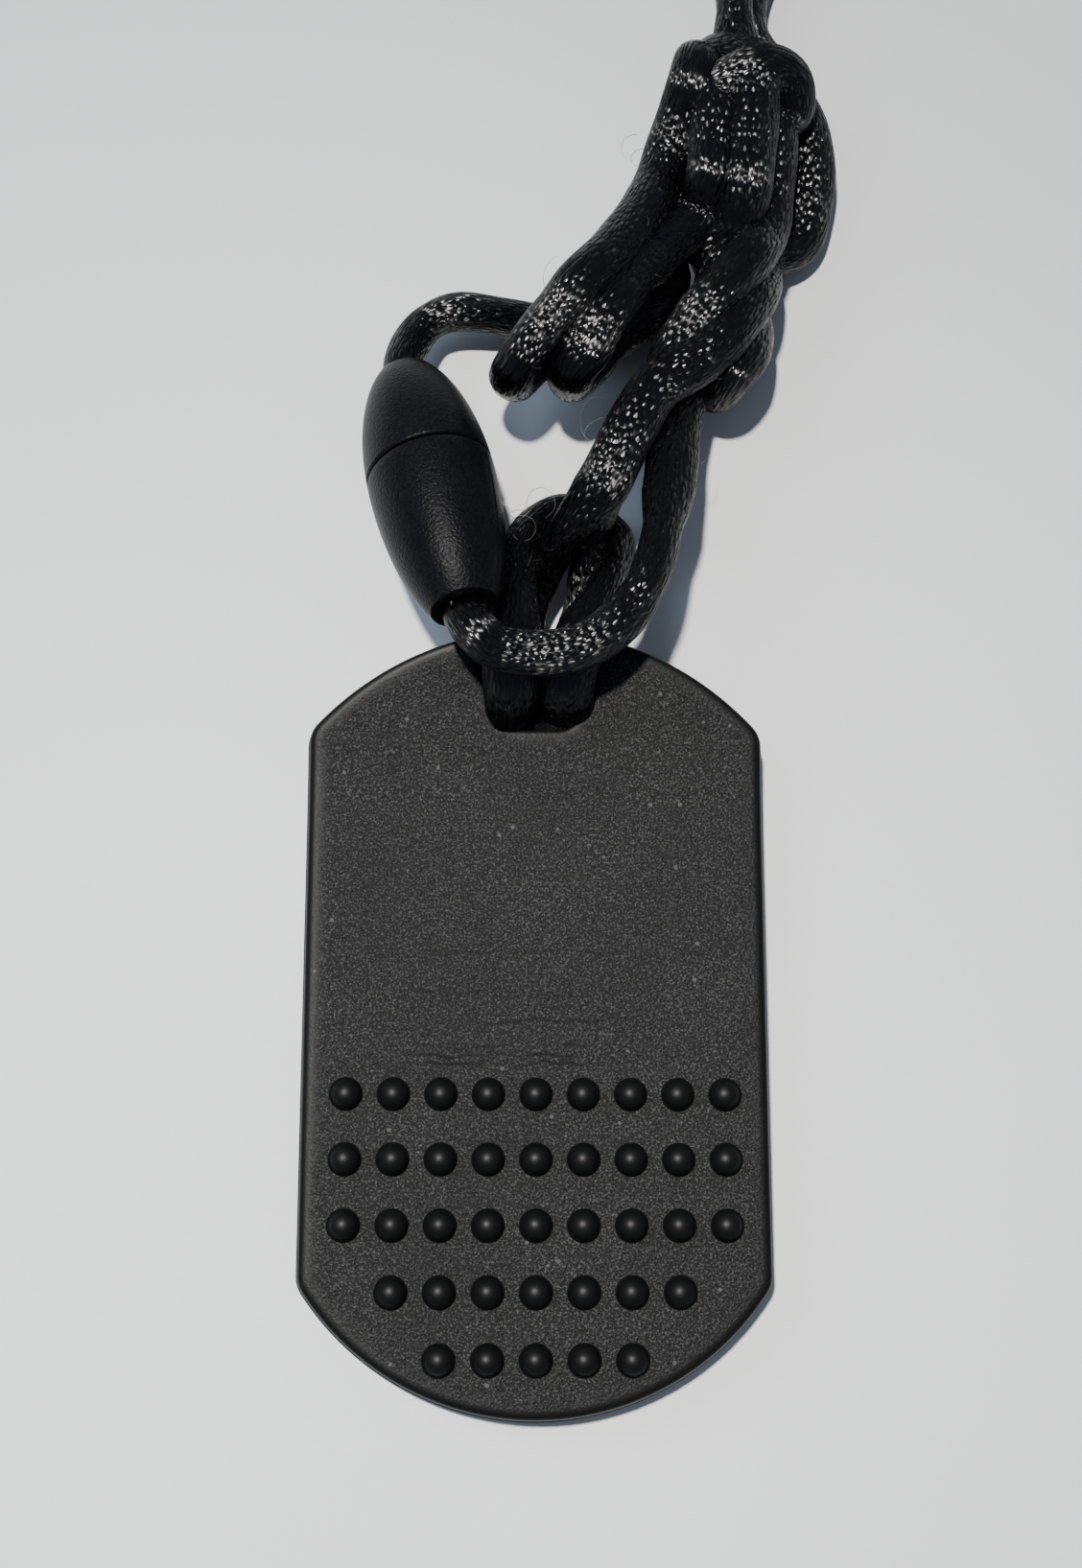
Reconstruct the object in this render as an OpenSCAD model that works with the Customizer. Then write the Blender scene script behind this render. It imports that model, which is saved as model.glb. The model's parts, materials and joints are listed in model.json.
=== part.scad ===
// Dog-tag chew pendant on a cord with a breakaway barrel clasp, lying flat as stored.
// Frame: origin on the tag's flat back face between its sides, X across, Y towards the clasp, Z up.

/* [Tag] */
// Width of the tag
tag_width = 36.5; // [30:0.5:42]
// From the origin to the tag's upper end
top_reach = 30.4; // [25:0.1:35]
// From the origin to the tag's domed end
low_reach = 30.9; // [25:0.1:35]
// Thickness of the tag
tag_thickness = 4; // [3:0.1:6]
// Radius of the curve across the upper end
top_radius = 24.4; // [20:0.1:30]
// Radius of the curve across the domed end
low_radius = 21.6; // [19:0.1:30]
// Radius of the corners
corner_radius = 2.5; // [1:0.1:5]
// How far the moulding's parting rib stands out of the edge
rib_out = 0.2; // [0.1:0.05:0.5]
// Height of the parting rib
rib_height = 0.3; // [0.2:0.05:0.6]
// Where the top end starts to curl up over the cord
curl_start = 14; // [8:1:18]
// Radius that the curled end's back face bends to
curl_radius = 54.5; // [45:0.5:90]
// Width of the rim between the eyelet and the tag's end
rim_width = 2.6; // [1.8:0.1:3]

/* [Domes] */
// Domes in each row, from the top row down
dome_counts = [9, 9, 9, 7, 5];
// Radius of a dome
dome_radius = 1.2; // [0.8:0.1:1.6]
// How far a dome stands out of the face
dome_height = 1.1; // [0.6:0.1:1.4]
// Spacing of the domes across
dome_pitch_x = 3.65; // [3:0.05:3.8]
// Spacing of the rows
dome_pitch_y = 4.95; // [3.5:0.05:5.2]
// Y of the top row
dome_top_row = -6.5; // [-9:0.5:-4]

/* [Clasp] */
// Largest radius of the barrel
barrel_radius = 5.2; // [4.8:0.1:5.6]
// Middle of the barrel to the plug half's end
plug_reach = 12.4; // [11:0.1:13]
// Middle of the barrel to the socket half's end
socket_reach = 11.2; // [10:0.1:12]
// Radius of the plug half's flat end
plug_end_radius = 2.7; // [2.4:0.1:3.2]
// Radius of the socket half's end
socket_end_radius = 2.25; // [2:0.05:2.8]
// Seam's distance from the middle, towards the socket
seam_offset = 0.8; // [0:0.1:2]
// Gap between the two halves at the seam
seam_gap = 0.1; // [0.05:0.05:0.3]
// Radius of the cord holes
cord_hole_radius = 1.75; // [1.65:0.05:2]
// Wall of the barrel's ends round the knots
end_wall = 2.2; // [1.5:0.1:3]
// Outer radius of the plug's collar
collar_radius = 3.2; // [2.8:0.05:3.3]
// Inner radius of the plug's collar
collar_bore = 2.6; // [2.2:0.1:2.7]
// Length of the collar past the seam
collar_length = 5.8; // [4:0.1:6.5]
// Radial room between the collar and the socket
collar_clearance = 0.3; // [0.2:0.05:0.5]
// Width of the collar's four slits
slit_width = 0.8; // [0.5:0.1:1.2]
// Height of the snap bead on the collar
bead_height = 0.15; // [0.1:0.05:0.25]

/* [Cord] */
// Diameter of the cord
cord_diameter = 3.2; // [2.8:0.1:3.4]
// Radius of the stopper knots inside the clasp
knot_radius = 2.3; // [2:0.1:2.4]

/* [Tie] */
// Width of the paper band round the stored cord
tie_width = 6; // [4:1:10]
// Thickness of the band
tie_thickness = 0.35; // [0.2:0.05:0.5]

/* [Hidden] */
$fn = 48;
cord_radius = cord_diameter / 2;
cord_sides = 8;
past = 1;  // how far cutters run past what they cut
curl_overlap = 0.1;  // the curled end starts this far inside the flat part

// tag
side_x = tag_width / 2;
corner_x = side_x - corner_radius;
curl_height = curl_radius - sqrt(pow(curl_radius, 2) - pow(top_reach - curl_start, 2));
rib_low = (tag_thickness - rib_height) / 2;
eyelet_half = [[0, 22.4], [2.3, 22.4], [3, 23], [3.7, 24.5], [4.2, 26.3], [4.8, 28.6], [0, 28.6]];
dome_sink = dome_radius - dome_height;

// clasp: its own frame has the plug end towards +Z
clasp_middle = [-8.5, 42.2, 7.3];
clasp_lift = 15.5;  // the plug end is this many degrees higher
clasp_heading = 13;  // and the barrel turned by this much
clasp_axis = [
  sin(clasp_heading) * cos(clasp_lift), -cos(clasp_heading) * cos(clasp_lift), sin(clasp_lift)
];
plug_end = clasp_middle + plug_reach * clasp_axis;
socket_end = clasp_middle - socket_reach * clasp_axis;
seam = -seam_offset;
bead_z = seam - collar_length + 1.2;
plug_knot_z = plug_reach - end_wall - knot_radius - 0.1;
socket_knot_z = -socket_reach + end_wall + knot_radius + 0.1;
knot_room = knot_radius + 0.3;

// cord: the points that its free stretches follow, in millimetres
route_to_plug = [
  plug_end, plug_end + clasp_axis, [-4.6, 28.2, 11.2], [-3, 27.2, 10.8], [-0.4, 26.9, 10.7],
  [2.4, 27.1, 10.8], [4.9, 28.3, 10.9], [7.4, 30.9, 10.8], [9, 34.3, 10.3], [10, 38.4, 9.3],
  [10.7, 42.6, 8.2], [11.2, 46.8, 7.2], [12.4, 51, 6]
];
route_hitch = [
  [12.2, 52, 8.5], [9.9, 50.4, 8.7], [8.3, 48, 8.8], [6.6, 44.6, 8.8], [5, 41.4, 8.4],
  [2.4, 38.4, 6.4], [0.3, 35.4, 3.4], [-0.9, 32.2, 1.8], [-1.2, 29, 1.6], [-1.4, 26.2, 1.9],
  [-1.8, 24, 4.4], [-2.1, 25.8, 7.2], [-2, 28.6, 7.7], [-1.7, 31.6, 6.8], [-1.5, 34.6, 5.4],
  [-1.3, 37.6, 3.8], [-0.2, 40.2, 2.4], [2.2, 41.8, 1.8], [4.8, 41.2, 1.8], [6.6, 38.9, 3],
  [6.3, 35.8, 4.6], [5, 32.6, 6.4], [3.5, 29.2, 7.7], [2.5, 26.2, 7.2], [2.3, 24.1, 4.4],
  [2.5, 26.2, 1.9], [3, 29, 1.6], [3.7, 32.4, 1.8], [4.2, 35.8, 2.4], [4.6, 39, 3.8],
  [5.3, 41.6, 5.3], [6.6, 44.6, 5.6], [8.2, 48, 5.5], [10, 51, 6]
];
route_to_socket = [
  [10.5, 61.2, 2.2], [6.2, 59.2, 1.7], [3, 58.6, 1.7], [-0.2, 58.8, 1.8], [-3.8, 59, 2.8],
  [-6.8, 59.1, 3.1], [-9.2, 58, 3], [-10.6, 55.8, 3.3], socket_end - clasp_axis, socket_end
];
route_side_loop = [
  [22.2, 98, 1.6], [20, 93, 1.6], [18.9, 89, 1.7], [19.2, 85.6, 2], [21, 82.2, 2.2],
  [22.9, 78.8, 2.4], [23.9, 75, 2.6], [23.8, 70.5, 2.4], [22.4, 66.3, 2], [20, 64, 2.6]
];
route_to_tail = [[17.3, 81, 5], [17.2, 85.5, 4.9], [17.2, 89, 4.8], [16.6, 93, 4.9], [15.2, 98, 5.2]];

// stored cord: each hank is one plain solid of its outer shape
bundle_low = [14.6, 55.4];
bundle_high = [17, 77];
bundle_radius = 5;
bundle_bottom = 0.2;
bundle_top = 10.2;
lobe_bottom = 3.2;
lobe_top = 12;
lobe_runs = [[[-0.6, 53.2], [9, 66]], [[3.6, 52.8], [11.4, 64]]];
tail_x = 19.2;
tail_low = 103.2;
tail_high = 157;
tail_radius = 6.4;
tail_waist = 3.3;
tail_waist_y = 130;
tail_bottom = 0.2;
tail_top = 6.9;

// ---- helpers ----

function unit(v) = v / norm(v);
function along(path, i) = unit(path[min(i + 1, len(path) - 1)] - path[max(i - 1, 0)]);
// a side vector, carried along the path without twist
function side_at(path, i) =
  let (t = along(path, i), from = i == 0 ? [0.1, 0.2, 1] : side_at(path, i - 1))
  unit(from - (from * t) * t);
function ring_at(path, i) =
  let (t = along(path, i), n = side_at(path, i), b = cross(t, n))
  [for (k = [0:cord_sides - 1])
    let (a = 360 * k / cord_sides) path[i] + cord_radius * (cos(a) * n + sin(a) * b)];

module tube(path) {
  last = len(path) - 1;
  points = [for (i = [0:last]) each ring_at(path, i)];
  sides = [for (i = [0:last - 1], k = [0:cord_sides - 1])
    let (a = i * cord_sides + k, b = i * cord_sides + (k + 1) % cord_sides)
    each [[a, a + cord_sides, b + cord_sides], [a, b + cord_sides, b]]];
  start_cap = [for (k = [0:cord_sides - 1]) k];
  end_cap = [for (k = [cord_sides - 1:-1:0]) last * cord_sides + k];
  polyhedron(points = points, faces = concat([start_cap], sides, [end_cap]), convexity = 6);
}

// an outline with two round ends, standing up as one closed solid
module stadium(a, b, r, bottom, top) {
  run = b - a;
  translate([0, 0, bottom]) linear_extrude(top - bottom) {
    translate(a) circle(r);
    translate(b) circle(r);
    translate((a + b) / 2) rotate(atan2(run[1], run[0])) square([norm(run), 2 * r], center = true);
  }
}

module in_clasp_frame() {
  translate(clasp_middle) rotate([0, 0, clasp_heading - 90]) rotate([0, 90 - clasp_lift, 0]) children();
}

// ---- tag ----

module tag_end(reach, radius, inset) {
  arc_y = reach - radius;
  corner_y = arc_y + sqrt(pow(radius - corner_radius, 2) - pow(corner_x, 2));
  arc_end_x = corner_x * radius / (radius - corner_radius);
  intersection() {
    translate([0, arc_y]) circle(radius - inset, $fn = 96);
    translate([inset - arc_end_x, 0]) square([2 * arc_end_x - 2 * inset, reach]);
  }
  translate([inset - side_x, -past]) square([tag_width - 2 * inset, corner_y + past]);
  for (x = [-corner_x, corner_x])
    translate([x, corner_y]) circle(corner_radius - inset);
}

module tag_outline(inset) {
  tag_end(top_reach, top_radius, inset);
  mirror([0, 1]) tag_end(low_reach, low_radius, inset);
}

// one layer of the tag: flat up to where the curl starts, then bent round the X axis
module tag_layer(inset, low, high) {
  translate([0, 0, low]) linear_extrude(high - low) intersection() {
    tag_outline(inset);
    translate([-tag_width, -low_reach - past]) square([2 * tag_width, low_reach + past + curl_start]);
  }
  intersection() {
    linear_extrude(curl_height + tag_thickness + past) intersection() {
      tag_outline(inset);
      translate([-tag_width, curl_start - curl_overlap]) square([2 * tag_width, top_reach]);
    }
    translate([0, curl_start, curl_radius]) rotate([0, 90, 0]) difference() {
      cylinder(r = curl_radius - low, h = 2 * tag_width, center = true, $fn = 96);
      cylinder(r = curl_radius - high, h = 3 * tag_width, center = true, $fn = 96);
    }
  }
}

module eyelet() {
  translate([0, 0, -past]) linear_extrude(curl_height + tag_thickness + 3 * past) intersection() {
    translate([0, top_reach - top_radius]) circle(top_radius - rim_width, $fn = 96);
    for (side = [0, 1]) mirror([side, 0]) polygon(eyelet_half);
  }
}

module domes() {
  for (row = [0:len(dome_counts) - 1], i = [0:dome_counts[row] - 1])
    translate([
      (i - (dome_counts[row] - 1) / 2) * dome_pitch_x,
      dome_top_row - row * dome_pitch_y,
      tag_thickness - dome_sink
    ]) sphere(dome_radius, $fn = 24);
}

module tag() {
  color("dimgray") difference() {
    union() {
      tag_layer(rib_out, 0, tag_thickness);
      tag_layer(0, rib_low, rib_low + rib_height);
      domes();
    }
    eyelet();
  }
}

// ---- clasp ----

// half of the barrel's section, bulging from its full radius to its end
module barrel_section(reach, end_r) {
  drop = barrel_radius - end_r;
  bulge = (reach * reach + drop * drop) / (2 * drop);
  intersection() {
    translate([barrel_radius - bulge, 0]) circle(bulge, $fn = 96);
    square([barrel_radius, reach]);
  }
}

module clasp_plug_half() {
  color("dimgray") in_clasp_frame() difference() {
    union() {
      rotate_extrude() barrel_section(plug_reach, plug_end_radius);
      translate([0, 0, seam]) cylinder(r = barrel_radius, h = seam_offset);
      translate([0, 0, seam - collar_length]) cylinder(r = collar_radius, h = collar_length);
      translate([0, 0, bead_z]) rotate_extrude()
        translate([collar_radius - bead_height, 0]) circle(2 * bead_height, $fn = 24);
    }
    translate([0, 0, seam - collar_length - past]) cylinder(r = collar_bore, h = collar_length + 4);
    translate([0, 0, seam - past])
      cylinder(r = knot_room, h = plug_reach - end_wall - seam + past);
    cylinder(r = cord_hole_radius, h = plug_reach + past);
    for (turn = [0, 90])
      translate([0, 0, seam - collar_length]) rotate(turn)
        cube([3 * barrel_radius, slit_width, 2 * (collar_length - 1)], center = true);
  }
}

module clasp_socket_half() {
  socket_bore = collar_radius + collar_clearance;
  mouth = socket_reach - seam_offset - seam_gap;
  color("dimgray") in_clasp_frame() difference() {
    mirror([0, 0, 1]) rotate_extrude() intersection() {
      barrel_section(socket_reach, socket_end_radius);
      translate([0, seam_offset + seam_gap]) square([barrel_radius, mouth]);
    }
    translate([0, 0, seam - collar_length - 0.4]) cylinder(r = socket_bore, h = collar_length + past);
    translate([0, 0, -socket_reach + end_wall]) cylinder(r = knot_room, h = socket_reach - end_wall);
    translate([0, 0, -socket_reach - past]) cylinder(r = cord_hole_radius, h = socket_reach);
    translate([0, 0, bead_z]) rotate_extrude()
      translate([socket_bore - bead_height, 0]) circle(2 * bead_height, $fn = 24);
  }
}

// a stopper knot, with the bit of cord between it and the barrel's end
module knot(height, end_z) {
  color("black") in_clasp_frame() {
    translate([0, 0, height]) sphere(knot_radius);
    translate([0, 0, min(height, end_z)]) cylinder(r = cord_radius, h = abs(end_z - height));
  }
}

module cord_knot_plug() {
  knot(plug_knot_z, plug_reach);
}

module cord_knot_socket() {
  knot(socket_knot_z, -socket_reach);
}

// ---- cord ----

module cord_to_plug() {
  color("black") tube(route_to_plug);
}

module cord_hitch() {
  color("black") tube(route_hitch);
}

module cord_to_socket() {
  color("black") tube(route_to_socket);
}

module cord_side_loop() {
  color("black") tube(route_side_loop);
}

module cord_to_tail() {
  color("black") tube(route_to_tail);
}

module hank_bundle() {
  color("black") stadium(bundle_low, bundle_high, bundle_radius, bundle_bottom, bundle_top);
}

module lobe(i) {
  color("black") stadium(lobe_runs[i][0], lobe_runs[i][1], cord_radius, lobe_bottom, lobe_top);
}

module hank_lobe_left() {
  lobe(0);
}

module hank_lobe_right() {
  lobe(1);
}

module hank_tail() {
  color("black") translate([tail_x, 0, tail_bottom]) linear_extrude(tail_top - tail_bottom) {
    for (y = [tail_low, tail_high]) translate([0, y]) circle(tail_radius);
    polygon([
      [-tail_radius, tail_low], [tail_radius, tail_low], [tail_waist, tail_waist_y],
      [tail_radius, tail_high], [-tail_radius, tail_high], [-tail_waist, tail_waist_y]
    ]);
  }
}

module hank_tie() {
  color("silver") translate([tail_x, tail_waist_y, 0]) rotate([90, 0, 0])
    linear_extrude(tie_width, center = true) difference() {
      translate([-tail_waist - 2 * tie_thickness, 0])
        square([2 * tail_waist + 4 * tie_thickness, tail_top + tie_thickness]);
      translate([-tail_waist - tie_thickness, tie_thickness])
        square([2 * tail_waist + 2 * tie_thickness, tail_top - tie_thickness]);
    }
}

tag();
clasp_plug_half();
clasp_socket_half();
cord_knot_plug();
cord_knot_socket();
cord_to_plug();
cord_hitch();
cord_to_socket();
cord_side_loop();
cord_to_tail();
hank_bundle();
hank_lobe_left();
hank_lobe_right();
hank_tail();
hank_tie();
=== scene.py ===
"""A dog-tag chew pendant on a braided cord with a breakaway barrel clasp, lying flat on a table."""

import json
import math
import random

import bmesh
import bpy
import numpy as np
from mathutils import Matrix, Vector
from mathutils.geometry import delaunay_2d_cdt


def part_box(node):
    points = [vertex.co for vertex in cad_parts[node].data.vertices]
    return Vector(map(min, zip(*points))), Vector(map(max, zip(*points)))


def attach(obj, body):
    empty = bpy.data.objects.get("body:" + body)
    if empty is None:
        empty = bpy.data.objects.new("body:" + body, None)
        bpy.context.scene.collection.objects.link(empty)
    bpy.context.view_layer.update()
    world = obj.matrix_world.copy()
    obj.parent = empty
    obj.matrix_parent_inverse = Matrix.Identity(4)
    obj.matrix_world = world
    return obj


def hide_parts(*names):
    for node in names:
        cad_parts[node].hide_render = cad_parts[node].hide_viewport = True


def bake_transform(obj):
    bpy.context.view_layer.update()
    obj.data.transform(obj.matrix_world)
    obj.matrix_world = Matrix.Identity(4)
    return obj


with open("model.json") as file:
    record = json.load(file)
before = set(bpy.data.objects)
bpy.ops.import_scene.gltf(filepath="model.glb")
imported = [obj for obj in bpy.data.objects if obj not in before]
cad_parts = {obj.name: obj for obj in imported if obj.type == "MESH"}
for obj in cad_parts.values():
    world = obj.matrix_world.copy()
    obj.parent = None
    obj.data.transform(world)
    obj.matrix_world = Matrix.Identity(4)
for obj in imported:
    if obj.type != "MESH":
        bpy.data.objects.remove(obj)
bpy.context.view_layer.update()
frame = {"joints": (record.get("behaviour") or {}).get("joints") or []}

MM = 0.001
scene = bpy.context.scene
spin = next(j for j in frame["joints"] if j["name"] == "socket_spin")

# ---------------------------------------------------------------- sizes, in millimetres

CORD_RADIUS = 1.6
CORD_STEP = 0.35  # between the rings of the cord's mesh
TAIL_STEP = 0.8  # the same, where the cord is stored outside the view
TAIL_START_Y = 95.0
CORD_SIDES = 24

BARREL_RADIUS = 5.2
PLUG_REACH = 12.4
SOCKET_REACH = 11.2
CORD_HOLE_RADIUS = 1.75
PLUG_LENGTH = 14.4  # semi-axes of the two halves' curves
SOCKET_LENGTH = 12.4
SEAM = -0.8  # along the barrel from its middle, towards the plug half's end
SEAM_GAP = 0.1
COLLAR_BORE = 2.6
COLLAR_RADIUS = 3.2
SOCKET_BORE = 3.5
BEAD_PLACE = -5.4  # along the barrel, as the seam is
BEAD_HEIGHT = 0.15
KNOT_DEPTH = 4.6  # of the knots' middles, from the two ends of the barrel
KNOT_SCALE = 0.46
KNOT_CORD_RADIUS = 0.85

TAG_HALF_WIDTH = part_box("tag")[1].x / MM
TAG_ENDS = (  # reach and radius, of the upper end and then of the domed one
    (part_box("tag")[1].y / MM, 24.4),
    (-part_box("tag")[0].y / MM, 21.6),
)
TAG_THICKNESS = 4.0
CORNER_RADIUS = 2.5
RIB_OUT = 0.2
CURL_START = 14.0
CURL_RADIUS = 54.5
EYELET_RIM = 2.6
DOME_COUNTS = (9, 9, 9, 7, 5)
DOME_PITCH = (3.65, 4.95)
DOME_TOP_ROW = -6.5
DOME_RADIUS = 1.2
DOME_HEIGHT = 1.1

TIE_INSET = 0.05
TIE_THICKNESS = 0.3
TIE_CORNER = 1.2
TIE_ROWS = 13

TABLE_GAP = 0.02  # the floor lies this far below zero, and the cord and its band this far above
FLOOR_HALF_WIDTH = 5000.0

# ---------------------------------------------------------------- camera and light

CAMERA_SENSOR_HEIGHT = 24
CAMERA_LENS = 32.3
CAMERA_PLACE = (-5.5, -20.1, 167.6)  # solved on the regular grid of domes
CAMERA_TURN = (13.12, -2.06, -0.02)  # in degrees
LIT_POINT = (0, 0.03, 0)  # in metres, as the lamps' places and sizes are


def make_camera():
    data = bpy.data.cameras.new("camera")
    data.sensor_fit = "VERTICAL"
    data.sensor_height = CAMERA_SENSOR_HEIGHT
    data.lens = CAMERA_LENS
    data.clip_start = 0.01
    camera = bpy.data.objects.new("camera", data)
    camera.location = Vector(CAMERA_PLACE) * MM
    camera.rotation_euler = [math.radians(a) for a in CAMERA_TURN]
    scene.collection.objects.link(camera)
    scene.camera = camera


def area_light(name, location, size, power, colour):
    """A round lamp that shines at the lit point."""
    data = bpy.data.lights.new(name, "AREA")
    data.shape = "DISK"
    data.size = size
    data.energy = power
    data.color = colour
    lamp = bpy.data.objects.new(name, data)
    lamp.location = location
    lamp.rotation_euler = (Vector(LIT_POINT) - Vector(location)).to_track_quat("-Z", "Y").to_euler()
    scene.collection.objects.link(lamp)
    return lamp


def make_light():
    area_light("key", location=(-0.215, 0.2, 1.2), size=0.085, power=28.5, colour=(1.0, 0.97, 0.94))
    fill = area_light("sky_fill", location=(-0.9, 0.5, 0.75), size=0.9, power=9.0, colour=(0.6, 0.77, 1.0))
    fill.visible_glossy = False  # seen in the black surfaces, it would lift them to grey
    world = bpy.data.worlds.new("room")
    world.use_nodes = True
    background = world.node_tree.nodes["Background"]
    background.inputs["Color"].default_value = (0.68, 0.8, 1.0, 1)
    background.inputs["Strength"].default_value = 0.25
    scene.world = world


# ---------------------------------------------------------------- materials


def material(name, **constants):
    """A new material and its shader, with the shader's own sockets set to the given constants."""
    made = bpy.data.materials.new(name)
    made.use_nodes = True
    shader = made.node_tree.nodes["Principled BSDF"]
    for socket, value in constants.items():
        shader.inputs[socket.replace("_", " ")].default_value = value
    return made, shader


def node(tree, kind, settings=None, **inputs):
    """Adds a node. settings are its properties; an input is a value, or another node's output to link."""
    made = tree.nodes.new("ShaderNode" + kind)
    for name, value in (settings or {}).items():
        setattr(made, name, value)
    for name, value in inputs.items():
        socket = made.inputs[int(name[1:])] if name[1:].isdigit() else made.inputs[name.replace("_", " ")]
        if isinstance(value, bpy.types.NodeSocket):
            tree.links.new(value, socket)
        else:
            socket.default_value = value
    return made


def ramp(tree, value, low, high, out_low=0.0, out_high=1.0):
    """value, from low..high to out_low..out_high, held at the ends."""
    made = node(tree, "MapRange", Value=value, From_Min=low, From_Max=high, To_Min=out_low, To_Max=out_high)
    return made.outputs["Result"]


def math_node(tree, operation, *values):
    inputs = {f"_{i}": value for i, value in enumerate(values)}
    return node(tree, "Math", {"operation": operation}, **inputs).outputs[0]


def product(tree, a, b):
    return math_node(tree, "MULTIPLY", a, b)


def tint(tree, factor, low, high):
    """A colour between low and high. low may also be another node's output."""
    start = low if isinstance(low, bpy.types.NodeSocket) else (*low, 1)
    return node(tree, "Mix", {"data_type": "RGBA"}, _0=factor, _6=start, _7=(*high, 1)).outputs[2]


def scaled(tree, vector, scale):
    return node(tree, "VectorMath", {"operation": "MULTIPLY"}, _0=vector, _1=scale).outputs[0]


def bump(tree, shader, height, distance, strength=1.0):
    made = node(tree, "Bump", Height=height, Distance=distance, Strength=strength)
    tree.links.new(made.outputs["Normal"], shader.inputs["Normal"])


def cord_material():
    """Black satin cord, whose stitches shine only where the cord runs across the light."""
    made, shader = material("cord_fibre", Anisotropic=0.97, Specular_IOR_Level=0.36)
    tree = made.node_tree
    space = node(tree, "Attribute", {"attribute_name": "cord_space"}).outputs["Vector"]
    weave = scaled(tree, space, (3.6, 3.6, 1.25))
    stitches = node(tree, "TexVoronoi", Vector=weave, Scale=1.0, Randomness=0.85)
    threads = node(tree, "TexNoise", Vector=scaled(tree, space, (6.0, 6.0, 0.9)), Scale=1.0, Detail=1.0)
    stitch = ramp(tree, stitches.outputs["Distance"], 0.0, 0.75, 1.0, 0.0)
    chance = node(tree, "SeparateColor", _0=stitches.outputs["Color"])
    raised = product(tree, stitch, ramp(tree, chance.outputs["Red"], 0.1, 1.0, 0.5, 1.6))
    height = math_node(tree, "ADD", raised, product(tree, threads.outputs[0], 0.7))
    bump(tree, shader, height, 0.00013, 0.9)
    paleness = product(tree, stitch, chance.outputs["Blue"])
    tree.links.new(tint(tree, paleness, (0.0006, 0.0006, 0.0007), (0.003, 0.003, 0.0033)), shader.inputs[0])
    tree.links.new(ramp(tree, chance.outputs["Green"], 0.0, 1.0, 0.2, 0.4), shader.inputs["Roughness"])
    around = node(tree, "Tangent", {"direction_type": "UV_MAP", "uv_map": "around"})
    tree.links.new(around.outputs[0], shader.inputs["Tangent"])
    return made


def tag_material():
    """Matte silicone: a fine pebble on the face, smooth, darker edges and domes, and a painted reflection on
    the parting rib: a pale line.
    """
    made, shader = material("tag_silicone", Specular_IOR_Level=0.16)
    tree = made.node_tree
    place = node(tree, "TexCoord").outputs["Object"]
    face = node(tree, "Attribute", {"attribute_name": "pebble"}).outputs["Fac"]
    grain = node(tree, "TexNoise", Vector=place, Scale=6200.0, Detail=2.0, Roughness=0.7)
    pits = node(tree, "TexVoronoi", Vector=place, Scale=4200.0)
    clouds = node(tree, "TexNoise", Vector=place, Scale=160.0, Detail=3.0)
    dust = node(tree, "TexVoronoi", Vector=place, Scale=420.0)
    relief = math_node(tree, "ADD", grain.outputs[0], product(tree, pits.outputs["Distance"], 0.8))
    bump(tree, shader, product(tree, relief, face), 0.00008, 0.8)
    specks = ramp(tree, grain.outputs[0], 0.5, 0.7)
    cloud = ramp(tree, clouds.outputs[0], 0.3, 0.7, 0.75, 1.1)
    lightness = product(tree, product(tree, specks, cloud), face)
    speck = product(tree, ramp(tree, dust.outputs["Distance"], 0.075, 0.03), 3.0)
    lit = math_node(tree, "ADD", lightness, product(tree, speck, face))
    base = tint(tree, ramp(tree, face, 0.0, 1.0), (0.0038, 0.0038, 0.0037), (0.0052, 0.0051, 0.0049))
    speckled = tint(tree, lit, base, (0.066, 0.066, 0.0645))
    scuffed = tint(tree, scuffs(tree, place), speckled, (0.0015, 0.0015, 0.0015))
    parting = node(tree, "Attribute", {"attribute_name": "rib"}).outputs["Fac"]
    # painted reflection: the parting rib is painted pale in place of the white table reflected in the tag's
    # side, varied along its length by the clouds
    rib_reflection = product(tree, parting, ramp(tree, clouds.outputs[0], 0.35, 0.65, 0.35, 1.0))
    tree.links.new(tint(tree, rib_reflection, scuffed, (0.08, 0.08, 0.078)), shader.inputs[0])
    tree.links.new(ramp(tree, face, 0.0, 1.0, 0.42, 0.62), shader.inputs["Roughness"])
    return made


SCUFFS = (  # each line's y in metres, and how dark it is
    (-0.0035, 1.0), (-0.0041, 0.9), (-0.0028, 0.6), (-0.0009, 0.8), (0.0013, 0.5), (0.0046, 0.6),
)
SCUFF_WANDER = 0.0018


def scuffs(tree, place):
    """How far each point of the tag's face is in one of the faint lines that cross it above the domes."""
    split = node(tree, "SeparateXYZ", Vector=place)
    wander = node(tree, "TexNoise", Vector=scaled(tree, place, (230.0, 240.0, 0.0)), Scale=1.0, Detail=3.0)
    faint = node(tree, "TexNoise", Vector=scaled(tree, place, (180.0, 500.0, 0.0)), Scale=1.0, Detail=2.0)
    total = None
    for y, depth in SCUFFS:
        shift = math_node(tree, "MULTIPLY_ADD", wander.outputs[0], SCUFF_WANDER, y - SCUFF_WANDER / 2)
        gap = math_node(tree, "ABSOLUTE", math_node(tree, "SUBTRACT", split.outputs["Y"], shift))
        line = ramp(tree, gap, 0.00004, 0.00017, depth, 0.0)
        total = line if total is None else math_node(tree, "MAXIMUM", total, line)
    ends = math_node(tree, "ABSOLUTE", math_node(tree, "ADD", split.outputs["X"], 0.002))
    fading = ramp(tree, ends, 0.006, 0.011, 1.0, 0.1)
    return product(tree, total, product(tree, ramp(tree, faint.outputs[0], 0.36, 0.52), fading))


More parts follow.
